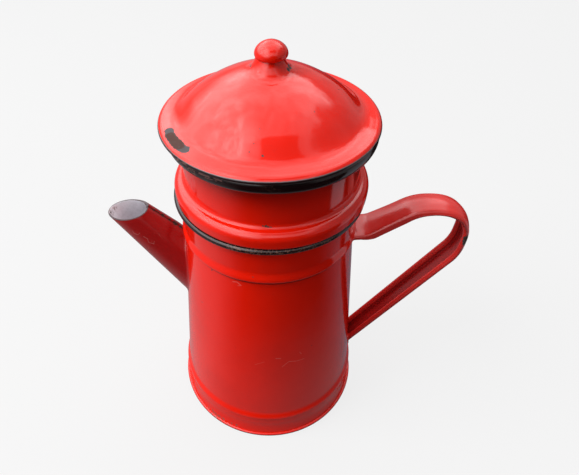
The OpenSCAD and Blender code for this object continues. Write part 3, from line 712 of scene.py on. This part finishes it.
# painted shade: the hollow of the channel gets a darker red glaze, for the shade that falls in it
handle_shaded_hollow = enamel("red_enamel_channel", glaze=(0.33, 0.012, 0.012), speckled=0.4, dull=0.10,
    scuffs=grip_scuffs)
SECTION = len(channel(0.0))
HOLLOW = CROWN_STEPS + SHOULDER_STEPS + 1 + HEM_STEPS
handle = woven("channel_handle", handle_rows, [handle_red, handle_shaded_hollow],
    lambda along_row: HOLLOW <= min(along_row, SECTION - 1 - along_row), ring=False)
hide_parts("handle_strap")
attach(handle, "pot")

# ---- Filter vessel --------------------------------------------------------------------------
# The upper vessel drops into the pot's neck and hangs there by a fat rolled bead. Its mouth is
# rolled round wire and dipped black, and its floor is a drilled disc.
VESSEL_X = 0.9
BODY_R, BORE_R = 46.0, 44.8
BEAD_R, BEAD_AT = 4.7, (46.9, 180.7)
HEEL_R, HEEL_AT = 1.6, (49.9, 177.5)
NECK_FILLET = 2.5
TOP_ROLL, TOP_TALL, TOP_AT = 3.4, 3.95, (48.8, 212.05)
vessel_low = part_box("filter_wall")[0].z / MM
shift = (HEEL_AT[0] - BEAD_AT[0], HEEL_AT[1] - BEAD_AT[1])
joined = degrees(atan2(shift[1], shift[0]) + acos((BEAD_R - HEEL_R) / hypot(*shift)))
rise = sqrt((BEAD_R + NECK_FILLET) ** 2 - (BODY_R + NECK_FILLET - BEAD_AT[0]) ** 2)
leaves = degrees(atan2(rise, BODY_R + NECK_FILLET - BEAD_AT[0]))
vessel = [(BORE_R - 6, vessel_low), (BORE_R - 2, vessel_low), (BODY_R - 1, vessel_low)]
vessel += arc((BODY_R - 1, vessel_low + 1), 1, -70, 0, 5)
vessel += [(BODY_R, z) for z in spaced(vessel_low + 3, HEEL_AT[1] - HEEL_R - 0.4, 14)]
vessel += [(BODY_R + 0.3, HEEL_AT[1] - HEEL_R), (HEEL_AT[0] - 1.5, HEEL_AT[1] - HEEL_R)]
vessel += arc(HEEL_AT, HEEL_R, -90, joined, 10) + arc(BEAD_AT, BEAD_R, joined, leaves, 22)
vessel += arc((BODY_R + NECK_FILLET, BEAD_AT[1] + rise), NECK_FILLET, 180 + leaves, 180, 12)[1:]
vessel += [(BODY_R, z) for z in spaced(BEAD_AT[1] + rise + 1, TOP_AT[1] - 0.5, 10)]
vessel += [(BODY_R, 214.2), (45.4, 214.8), (BORE_R, 214.2)]
vessel += [(BORE_R, z) for z in spaced(213, vessel_low + 2.2, 20)]
vessel += [(BORE_R - 0.4, vessel_low + 1.3), (BORE_R - 1.2, vessel_low + 1.15)]
vessel += [(BORE_R - 6, vessel_low + 1.1)]
# painted shade: the vessel's glaze darkens towards the top of its wall, for the shade under the lid's brim
vessel_red = enamel("red_enamel_vessel", speckled=0.5, painted_shade_band=(189, 209, 0.62),
    chips=[((-1.4, -46.1, 186.9), 0.7), ((-0.4, -46.4, 186.5), 0.6),
           ((0.9, -46.3, 186.5), 0.5), ((-2.9, -46.0, 186.8), 0.45),
           ((-3.9, -46.0, 187.4), 0.3), ((38.0, -29.6, 185.4), 0.45),
           ((36.8, -30.6, 185.6), 0.3)],
    scuffs=[([((-15, -47.8, 183), 5), ((-20, -46.5, 181), 4)], 0.7)])
filter_piece = spun("hanging_vessel", vessel + vessel[:1], vessel_red, centre=(VESSEL_X, 0),
    lining=grey_lining)
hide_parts("filter_wall")
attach(filter_piece, "filter")
mouth_scratches = stroke([(-30.2, -41.7, 213.2), (-25.6, -44.7, 213.4)], [0.5])
mouth_scratches += stroke([(-27.4, -43.6, 212.4), (-22.4, -46.4, 212.8)], [0.4])
mouth_scratches += stroke([(-23.5, -45.9, 213.6), (-20.0, -47.4, 213.3)], [0.45])
mouth_black = enamel("black_enamel_mouth", glaze=ENAMEL_BLACK, worn=0.9, scratches=mouth_scratches,
    rubbed=[((-41.8, -29.9, 212.8), 4), ((-39.2, -33.5, 212.6), 4),
            ((-36.6, -36.3, 212.5), 4), ((-34.2, -38.6, 212.1), 4)])
mouth_profile = [(TOP_AT[0] + TOP_ROLL * cos(t), TOP_AT[1] + TOP_TALL * sin(t))
    for t in (radians(360 * i / 36) for i in range(37))]
mouth = spun("vessel_roll", mouth_profile, mouth_black, centre=(VESSEL_X, 0))
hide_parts("filter_rim")
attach(mouth, "filter")


def tinned(name):
    """Drilled sheet steel with a dull tin coat, brushed and stained by coffee."""
    finish, tree, place = new_finish(name)
    stain = ramp(tree, cloud(tree, place, 12, detail=5.0, rough=0.65), 0.46, 0.66)
    colour = tint(tree, times(tree, stain, 0.55), (0.58, 0.57, 0.55), (0.20, 0.13, 0.085))
    long_way = join(tree, "Mapping", {0: place, "Scale": (1.0, 14.0, 14.0)})
    brushed = cloud(tree, long_way, 4.0, detail=4.0, rough=0.7, seed=3.0)
    rough = scaled(tree, stain, 0.22, scaled(tree, brushed, 0.16, 0.24))
    bump = join(tree, "Bump", {"Height": brushed, "Distance": 0.0002, "Strength": 0.35})
    shine = join(tree, "BsdfPrincipled", {"Base Color": colour, "Metallic": 1.0, "Roughness": rough,
        "Normal": bump})
    join(tree, "OutputMaterial", {"Surface": shine})
    return finish


steel = tinned("tinned_steel_brushed")
dress("filter_floor", steel)

# ---- Water spreader -------------------------------------------------------------------------
# A loose drilled cup that lies on the ground coffee, with a turned wooden knob riveted on to
# lift it out by.
dress("spreader_plate", steel)
dress("spreader_rivet", steel)
wood, tree, place = new_finish("stained_beech")
stretched = join(tree, "Mapping", {0: place, "Scale": (1.0, 1.0, 0.16)})
warp = cloud(tree, stretched, 4.0, detail=2.0)
rings = join(tree, "TexWave", {"Vector": stretched, "Scale": 170.0, "Distortion": 5.0,
    "Detail": 3.0, "Detail Scale": 2.0}, out=1)
pores = ramp(tree, cloud(tree, stretched, 0.5, detail=2.0, seed=4.0), 0.56, 0.72)
wood_colour = tint(tree, rings, (0.070, 0.030, 0.014), (0.135, 0.062, 0.028))
wood_colour = tint(tree, times(tree, warp, 0.5), wood_colour, (0.045, 0.020, 0.010))
wood_colour = tint(tree, times(tree, pores, 0.7), wood_colour, (0.018, 0.008, 0.005))
wood_bump = join(tree, "Bump", {"Height": maths(tree, "SUBTRACT", rings, pores),
    "Distance": 0.0002, "Strength": 0.3})
wood_shine = join(tree, "BsdfPrincipled", {"Base Color": wood_colour, "Normal": wood_bump,
    "Roughness": scaled(tree, pores, 0.25, 0.38)})
join(tree, "OutputMaterial", {"Surface": wood_shine})
dress("spreader_knob", wood)

# ---- Lid ------------------------------------------------------------------------------------
# A pressed bell with a level brim and a turned-down edge; a collar inside keeps it on the
# vessel. One long chip on the brim is down to the steel.
LID_AT = (-0.2, 0.8)
LID_R, DOME_R, DOME_H, EASE, BRIM_Z = 54.0, 46.0, 22.1, 5.5, 217.45
TURN_IN, TURN_BY = 35.0, 0.020
BRIM_FROM, BRIM_RISE = 44.0, 0.1
EDGE_ROLL, EDGE_TURN, LID_SHEET = 3.2, 18, 1.2
ROLL_R = LID_R - EDGE_ROLL


def lid_top(r):
    """The bell's outside: a dome that turns steep at its foot, and a brim that lifts to its edge."""
    crown = DOME_H * (1 - (r / DOME_R) ** 2) - TURN_BY * max(r - TURN_IN, 0) ** 2
    lift = min(max((r - BRIM_FROM) / (ROLL_R - BRIM_FROM), 0), 1)
    return BRIM_Z + (crown + sqrt(crown ** 2 + EASE ** 2)) / 2 + BRIM_RISE * lift * lift * (3 - 2 * lift)


def lid_under(r):
    return lid_top(r) - LID_SHEET * (1 + 0.25 * sin(pi * min(r / DOME_R, 1)))


lid_rs = spaced(0, DOME_R, 60) + spaced(DOME_R + 0.5, ROLL_R, 12)
roll_at = (ROLL_R, lid_top(ROLL_R) - EDGE_ROLL)
LIP_R = LID_SHEET / 2
lip_at = (roll_at[0] + (EDGE_ROLL - LIP_R) * cos(radians(EDGE_TURN)),
    roll_at[1] + (EDGE_ROLL - LIP_R) * sin(radians(EDGE_TURN)))
bell = [(r, lid_top(r)) for r in lid_rs] + arc(roll_at, EDGE_ROLL, 90, EDGE_TURN, 16)[1:]
bell += arc(lip_at, LIP_R, EDGE_TURN, EDGE_TURN - 180, 8)[1:]
bell += arc(roll_at, EDGE_ROLL - LID_SHEET, EDGE_TURN, 90, 8)[1:]
bell += [(r, lid_under(r)) for r in reversed(lid_rs[:-1])]


def on_lid(x, y):
    return x, y, lid_top(hypot(x - LID_AT[0], y - LID_AT[1]))


chip_line = [((-46.1, -16.6), (-45.0, -20.6), 2.4, 0.0), ((-45.0, -20.4), (-42.4, -25.2), 2.6, 0.8),
    ((-42.4, -25.2), (-39.6, -29.2), 2.7, 1.0), ((-39.2, -29.8), (-37.0, -31.8), 2.5, 0.1)]
small_chips = ((-2.8, -41.1, 0.5), (-4.1, -32.0, 0.35), (-6.7, -37.1, 0.3), (-8.3, -39.8, 0.35),
    (19.0, -21.6, 0.3), (-9.6, -0.2, 1.0), (-10.2, 1.8, 0.7), (9.6, 0.6, 0.9),
    (10.0, -1.4, 0.8), (9.4, 2.4, 0.8))
paint_z = roll_at[1] + 1.75
edge_stains = [((x, y, paint_z - 1.6), 2.6) for x, y in arc(LID_AT, LID_R, 207, 227, 4)]
lid_red = enamel("red_enamel_lid", speckled=0.7, edge=(paint_z - 0.35, paint_z - 0.1, ENAMEL_BLACK, 0.4),
    chips=[((on_lid(*start), on_lid(*end)), reach, rust) for start, end, reach, rust in chip_line]
    + [(on_lid(x, y), reach, 0.3) for x, y, reach in small_chips], rag=0.75, stains=edge_stains)
lid_lining = enamel("grey_enamel_lid", glaze=ENAMEL_GREY, mottled=0.7, speckled=1.0)
lid = spun("bell_lid", bell, lid_red, centre=LID_AT)
lid.data.materials.append(lid_lining)
for face in lid.data.polygons:
    reach = hypot(face.center.x / MM - LID_AT[0], face.center.y / MM - LID_AT[1])
    face.material_index = int(face.normal.z < -0.2 and reach < LID_R - LID_SHEET - 0.3)
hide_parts("lid_shell")
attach(lid, "lid")
COLLAR = 1.0
collar_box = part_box("lid_collar")
collar_r = collar_box[1].x / MM
collar_foot = collar_box[0].z / MM + COLLAR / 2
collar_top = lid_under(collar_r) + 0.4
collar_profile = [(collar_r, z) for z in spaced(collar_foot, collar_top, 8)]
collar_profile += [(collar_r - COLLAR, z) for z in spaced(collar_top, collar_foot, 8)]
collar_profile += arc((collar_r - COLLAR / 2, collar_foot), COLLAR / 2, 180, 360, 8)[1:]
collar = spun("lid_collar_ring", collar_profile, lid_lining, centre=(0, collar_box[1].y / MM - collar_r),
    steps=200)
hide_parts("lid_collar")
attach(collar, "lid")

# ---- Knob -----------------------------------------------------------------------------------
# A small pressed ball on a flared neck, fired in one with the lid, so the glaze runs thick and
# soft into the corner.
KNOB_AT = (0.4, 0.8)
WAIST_R, NECK_FOOT, NECK_UP = 6.3, 16.0, 5.6
BALL_R, BALL_Z, BALL_UP, UNDER_R = 7.6, 246.3, 5.8, 1.6
neck_rs = [WAIST_R + (NECK_FOOT - WAIST_R) * (1 - cos(radians(90 * i / 24))) for i in range(25)]
neck = [(r, lid_top(r) - 0.04 + NECK_UP * (1 - (r - WAIST_R) / (NECK_FOOT - WAIST_R)) ** 4.5)
    for r in reversed(neck_rs)]
neck += [(0, neck[-1][1]), (0, lid_top(0) - 0.5), (NECK_FOOT - 1, lid_top(NECK_FOOT - 1) - 0.4)]
neck_red = enamel("red_enamel_neck", chips=[((8.6, 0.4, 240.6), 1.5, 0.4), ((8.2, -2.4, 240.6), 1.1, 0.4),
    ((8.4, 3.0, 240.8), 0.9, 0.4), ((-8.6, 0.2, 240.8), 0.8, 0.4)])
neck_piece = spun("knob_foot", neck + neck[:1], neck_red, centre=LID_AT, steps=160)
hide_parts("knob_neck")
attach(neck_piece, "lid")
ball = [(0, BALL_Z - UNDER_R), (BALL_R - UNDER_R - 0.6, BALL_Z - UNDER_R)]
ball += arc((BALL_R - UNDER_R, BALL_Z), UNDER_R, -80, 0, 10)
ball += [(BALL_R * cos(t) ** 1.22, BALL_Z + BALL_UP * sin(t))
    for t in (radians(90 * i / 28) for i in range(1, 28))]
ball += [(0, BALL_Z + BALL_UP)]
ball_red = enamel("red_enamel_knob")
ball_piece = spun("knob_ball", ball + ball[:1], ball_red, centre=KNOB_AT, steps=160)
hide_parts("lid_knob")
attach(ball_piece, "lid")

# ---- Table, light and camera ----------------------------------------------------------------
# A plain pale table under a wide soft sky, brighter overhead and to the left, with one soft lamp
# on the left. A card that only the gloss sees stands in for the room in front, dark with pale parts.


def laid_out(name, z, finish):
    """A wide square sheet at a height, which isn't part of the pot."""
    mesh = bpy.data.meshes.new(name)
    mesh.from_pydata([(-4, -4, z), (4, -4, z), (4, 4, z), (-4, 4, z)], [], [(0, 1, 2, 3)])
    mesh.materials.append(finish)
    return set_out(name, mesh)


def glow(tree, colour):
    return join(tree, "Emission", {"Color": colour})


paper, tree, _ = new_finish("pale_table")
rays = join(tree, "LightPath", out=None)
seen = maths(tree, "MAXIMUM", maths(tree, "MAXIMUM", rays["Is Camera Ray"], rays["Is Glossy Ray"]),
    rays["Is Transmission Ray"])
matt = join(tree, "BsdfDiffuse", {"Color": tint(tree, seen, (0.24, 0.24, 0.24),
    (0.48, 0.48, 0.48))})
TABLE_GLOW = 0.88
blend = join(tree, "MixShader", {0: times(tree, seen, TABLE_GLOW), 1: matt,
    2: glow(tree, (0.913, 0.913, 0.913, 1.0))})
join(tree, "OutputMaterial", {"Surface": blend})
table = laid_out("table", 0, paper)

shade, tree, place = new_finish("dark_card")
where = join(tree, "SeparateXYZ", {0: place}, out=None)
bearing = maths(tree, "ARCTAN2", where["X"], times(tree, where["Y"], -1.0))
bearing = maths(tree, "DIVIDE", bearing, radians(1))
flat = join(tree, "CombineXYZ", {0: where["X"], 1: where["Y"]})
reach = vectors(tree, "LENGTH", flat)
glare = tint(tree, ramp(tree, reach, 0.205, 0.070), (0.002, 0.002, 0.002), (0.205, 0.200, 0.210))
glare = tint(tree, ramp(tree, bearing, 55.0, 105.0), glare, (0.17, 0.175, 0.215))
glare = tint(tree, ramp(tree, bearing, -24.0, -72.0), glare, (0.34, 0.335, 0.35))


def both(tree, first, second):
    """How far two ramps hold at once, each given as its value and its two limits."""
    return times(tree, ramp(tree, *first), ramp(tree, *second))


beyond = both(tree, (bearing, 20.0, 60.0), (bearing, 179.0, 160.0))
beyond = times(tree, ramp(tree, reach, 0.235, 0.245), beyond)
pale = both(tree, (bearing, 75.0, 77.5), (bearing, 113.0, 110.5))
glare = tint(tree, beyond, glare, tint(tree, pale, (0.012, 0.010, 0.012), (0.50, 0.50, 0.56)))
join(tree, "OutputMaterial", {"Surface": glow(tree, glare)})
card = laid_out("gloss_card", 0.0005, shade)
card.visible_camera = card.visible_diffuse = card.visible_shadow = card.visible_transmission = False

world = bpy.data.worlds.new("soft_sky")
bpy.context.scene.world = world
world.use_nodes = True
tree = world.node_tree
tree.nodes.clear()
look = join(tree, "TexCoord", out="Generated")
east, north, up = join(tree, "SeparateXYZ", {0: look}, out=None)


def mixed(tree, share, a, b):
    return join(tree, "Mix", {0: share, 2: a, 3: b})


def sky_noise(scale, detail, rough, bent=0.0):
    return join(tree, "TexNoise", {"Vector": look, "Scale": scale, "Detail": detail,
        "Roughness": rough, "Distortion": bent}, out=None)


def within(value, low, high, soft):
    """1 between two limits of a direction, easing to 0 over soft."""
    return both(tree, (value, low, low + soft), (value, high, high - soft))


plain = scaled(tree, ramp(tree, up, 0.25, 0.95), 0.86, 0.06)
plain = scaled(tree, ramp(tree, east, 0.10, -0.85), 0.36, plain)
plain = scaled(tree, both(tree, (north, -0.10, 0.75), (up, 0.10, 0.55)), 1.75, plain)
# what the gloss sees: a bright sky, brightest at the left, over a ragged dark skyline
shift = vectors(tree, "SUBTRACT", sky_noise(7.0, 5.0, 0.62)["Color"], (0.5, 0.5, 0.5))
ragged = vectors(tree, "ADD", vectors(tree, "SCALE", shift, scale=0.34), look)
edge = join(tree, "SeparateXYZ", {0: ragged}, out=None)
rough_line, soft_line = ramp(tree, edge["Z"], 0.42, 0.56), ramp(tree, up, 0.08, 0.50)
skyline = mixed(tree, ramp(tree, east, 0.0, -0.30), rough_line, soft_line)
skyline = times(tree, skyline, ramp(tree, edge["X"], 0.68, 0.54))
bright = scaled(tree, ramp(tree, east, -0.08, -0.44), 0.95, 1.75)
bright = scaled(tree, both(tree, (east, -0.10, -0.45), (north, 0.30, -0.10)), 1.05, bright)
bright = scaled(tree, both(tree, (east, -0.05, 0.30), (north, 0.25, -0.25)), -0.65, bright)
room = scaled(tree, both(tree, (north, -0.62, -0.85), (east, -0.50, -0.25)), -0.33, 0.36)
# a dark board hangs over the front
slant = scaled(tree, east, -0.25, north)
board = times(tree, within(east, -0.145, 0.435, 0.025), within(slant, -0.52, -0.225, 0.03))
bright = times(tree, bright, scaled(tree, board, -0.78, 1.0))
back_up = scaled(tree, both(tree, (east, 0.20, 0.50), (north, 0.35, 0.60)), 0.55,
    times(tree, ramp(tree, north, 0.10, 0.45), 0.28))
bright = scaled(tree, back_up, bright, bright)
wisps = ramp(tree, sky_noise(4.2, 5.0, 0.6, bent=0.8)[0], 0.38, 0.68)
glossy = times(tree, mixed(tree, skyline, room, bright), scaled(tree, wisps, 0.42, 0.80))
# bright twigs cross it at the left, and a few at the right
twigs = maths(tree, "ABSOLUTE", maths(tree, "SUBTRACT", sky_noise(7.5, 4.0, 0.65, bent=0.5)[0], 0.5))
to_left = times(tree, within(east, -0.76, -0.33, 0.07), within(north, -0.42, 0.42, 0.12))
to_right = times(tree, within(east, 0.22, 0.72, 0.10), within(north, -0.10, 0.15, 0.06))
twigs = times(tree, ramp(tree, twigs, 0.05, 0.0), scaled(tree, to_right, 0.6, to_left))
glossy = times(tree, glossy, scaled(tree, twigs, 0.75, 1.0))
rays = join(tree, "LightPath", out=None)
SKY_SEEN = 0.90
level = mixed(tree, rays["Is Camera Ray"], mixed(tree, rays["Is Glossy Ray"], plain, glossy), SKY_SEEN)
sky = join(tree, "Background", {"Color": (1.0, 0.99, 1.0, 1.0), "Strength": level})
join(tree, "OutputWorld", {"Surface": sky})

pane = bpy.data.lights.new("left_window", "AREA")
pane.shape, pane.size, pane.size_y, pane.energy = "RECTANGLE", 0.9, 0.9, 41
lamp = set_out("left_window", pane)
lamp.location = (-1.13, -0.27, 1.36)
lamp.rotation_euler = (Vector((0, 0, 0.12)) - lamp.location).to_track_quat("-Z", "Y").to_euler()
lamp.visible_glossy = False

camera_data = bpy.data.cameras.new("camera")
camera = set_out("camera", camera_data)
pitch, yaw, roll = (radians(angle) for angle in (46.80, 1.605, -0.78))
swing = Matrix.Rotation(yaw, 3, "Z")
ahead = swing @ Vector((0, cos(pitch), -sin(pitch)))
level_right = swing @ Vector((1, 0, 0))
level_up = level_right.cross(ahead)
right = level_right * cos(roll) + level_up * sin(roll)
upward = level_up * cos(roll) - level_right * sin(roll)
stand = Matrix.Translation((0, -0.210787, 0.336450))
camera.matrix_world = stand @ Matrix((right, upward, -ahead)).transposed().to_4x4()
camera_data.sensor_width, camera_data.lens = 36.0, 29.84
camera_data.shift_x, camera_data.shift_y = 0.0516, 0.0462
camera_data.clip_start = 0.01
bpy.context.scene.camera = camera
bpy.context.scene.view_settings.view_transform = "Standard"
